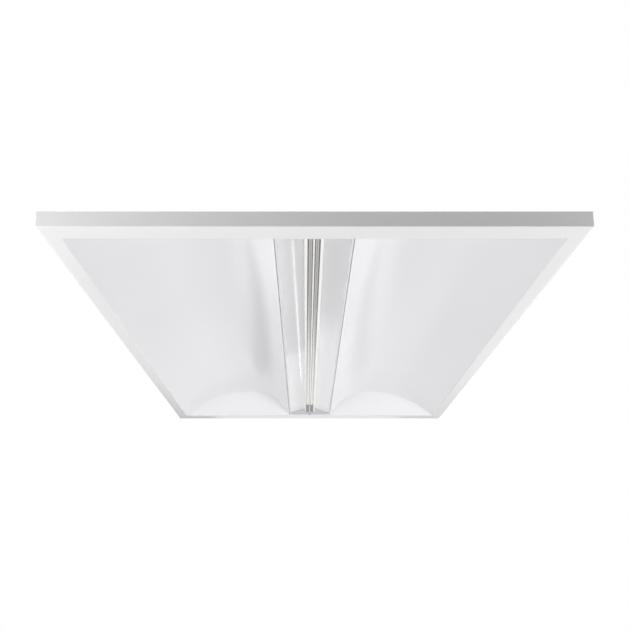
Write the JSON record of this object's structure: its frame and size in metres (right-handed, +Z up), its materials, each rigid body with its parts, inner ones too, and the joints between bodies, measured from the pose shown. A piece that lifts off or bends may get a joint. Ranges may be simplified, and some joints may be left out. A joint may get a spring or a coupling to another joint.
{
  "type": "recessed troffer light",
  "caption": "Lay-in ceiling light with two white vaulted reflectors and a drop-down centre optic of clear light guides on a ribbed spine, under a steel housing with a gear box.",
  "frame": {"origin": "under the middle of the light, on the plane of the frame's underside", "axes": "+X across the light, +Y along it from the optic's hinge end to its latch end, +Z up into the ceiling"},
  "size_m": [0.603, 1.213, 0.0957],
  "materials": {
    "frame_enamel": "gloss white baked enamel on folded steel",
    "housing_paint": "satin white powder coat on folded steel",
    "reflector_enamel": "matt high-reflectance white enamel",
    "tunnel_paint": "satin white powder coat",
    "optic_paint": "matt white powder coat",
    "spine_aluminium": "extruded, satin anodised",
    "clear_acrylic": "clear cast acrylic, slightly hazy",
    "circuit_board": "white solder mask on aluminium-core board",
    "led_package": "white package with a phosphor window",
    "zinc_steel": "bright zinc plate",
    "galvanised": "galvanised sheet",
    "stainless": "ground stainless",
    "contact_plastic": "white moulded nylon",
    "black_nylon": "black moulded nylon",
    "driver_case": "white powder coat on an aluminium case",
    "terminal_plastic": "grey moulded polycarbonate",
    "lever_plastic": "orange moulded nylon",
    "earth_screw_finish": "green passivated steel",
    "lead_insulation": "PVC insulation"
  },
  "bodies": {
    "troffer": {"frame_rail_left": "frame_enamel", "frame_rail_right": "frame_enamel", "frame_end_front": "frame_enamel", "frame_end_rear": "frame_enamel", "corner_gussets": "galvanised", "housing_side_left": "housing_paint", "housing_side_right": "housing_paint", "housing_end_front": "housing_paint", "housing_end_rear": "housing_paint", "housing_top": "housing_paint", "roof_screws": "zinc_steel", "reflector_wing_left": "reflector_enamel", "reflector_wing_right": "reflector_enamel", "end_reflector_front": "reflector_enamel", "end_reflector_rear": "reflector_enamel", "tunnel_wall_left": "tunnel_paint", "tunnel_wall_right": "tunnel_paint", "latch_keeper": "zinc_steel", "docking_bracket": "galvanised", "docking_socket": "contact_plastic", "gear_box": "galvanised", "gear_box_screws": "zinc_steel", "cover_hinge_pin": "stainless", "knockout_blank": "zinc_steel", "led_driver": "driver_case", "driver_sockets": "contact_plastic", "driver_screws": "zinc_steel", "terminal_block": "terminal_plastic", "earth_screw": "earth_screw_finish", "input_leads": "lead_insulation", "output_leads": "lead_insulation", "lead_bushing": "black_nylon", "clip_rivets": "stainless"},
    "optic": {"optic_tray": "optic_paint", "optic_end_front": "optic_paint", "optic_end_rear": "optic_paint", "optic_hinge_pins": "stainless", "spine": "spine_aluminium", "spine_screws": "zinc_steel", "light_guide_left": "clear_acrylic", "light_guide_right": "clear_acrylic", "led_board_left": "circuit_board", "led_board_right": "circuit_board", "leds_left": "led_package", "leds_right": "led_package", "docking_plug": "contact_plastic"},
    "latch": {"optic_latch": "zinc_steel"},
    "cover": {"gear_cover": "galvanised"},
    "turn_button": {"cover_turn_button": "black_nylon"},
    "lever_live": {"terminal_lever_live": "lever_plastic"},
    "lever_neutral": {"terminal_lever_neutral": "lever_plastic"},
    "lever_earth": {"terminal_lever_earth": "lever_plastic"},
    "clip_rear_right": {"grid_clip_rear_right": "stainless"},
    "clip_rear_left": {"grid_clip_rear_left": "stainless"},
    "clip_front_right": {"grid_clip_front_right": "stainless"},
    "clip_front_left": {"grid_clip_front_left": "stainless"}
  },
  "joints": [
    {"name": "optic_swing", "type": "hinge", "parent": "troffer", "child": "optic", "pos_m": [0, -0.556, 0.014], "axis": [-1, 0, 0], "range_deg": [0, 85]},
    {"name": "latch_turn", "type": "hinge", "parent": "optic", "child": "latch", "pos_m": [0, 0.5648, 0.0087], "axis": [0, 0, 1], "range_deg": [0, 90]},
    {"name": "cover_swing", "type": "hinge", "parent": "troffer", "child": "cover", "pos_m": [-0.0575, 0.18, 0.0865], "axis": [0, -1, 0], "range_deg": [0, 110]},
    {"name": "button_turn", "type": "hinge", "parent": "cover", "child": "turn_button", "pos_m": [0.044, 0.18, 0.088], "axis": [0, 0, -1], "range_deg": [0, 90]},
    {"name": "lever_live_lift", "type": "hinge", "parent": "troffer", "child": "lever_live", "pos_m": [-0.012, 0.015, 0.0702], "axis": [1, 0, 0], "range_deg": [0, 80]},
    {"name": "lever_neutral_lift", "type": "hinge", "parent": "troffer", "child": "lever_neutral", "pos_m": [0, 0.015, 0.0702], "axis": [1, 0, 0], "range_deg": [0, 80]},
    {"name": "lever_earth_lift", "type": "hinge", "parent": "troffer", "child": "lever_earth", "pos_m": [0.012, 0.015, 0.0702], "axis": [1, 0, 0], "range_deg": [0, 80]},
    {"name": "clip_rear_right_swing", "type": "hinge", "parent": "troffer", "child": "clip_rear_right", "pos_m": [0.2945, 0.4, 0.0398], "axis": [0, 0, 1], "range_deg": [0, 90]},
    {"name": "clip_rear_left_swing", "type": "hinge", "parent": "troffer", "child": "clip_rear_left", "pos_m": [-0.2945, 0.4, 0.0398], "axis": [0, 0, -1], "range_deg": [0, 90]},
    {"name": "clip_front_right_swing", "type": "hinge", "parent": "troffer", "child": "clip_front_right", "pos_m": [0.2945, -0.4, 0.0398], "axis": [0, 0, -1], "range_deg": [0, 90]},
    {"name": "clip_front_left_swing", "type": "hinge", "parent": "troffer", "child": "clip_front_left", "pos_m": [-0.2945, -0.4, 0.0398], "axis": [0, 0, 1], "range_deg": [0, 90]}
  ]
}
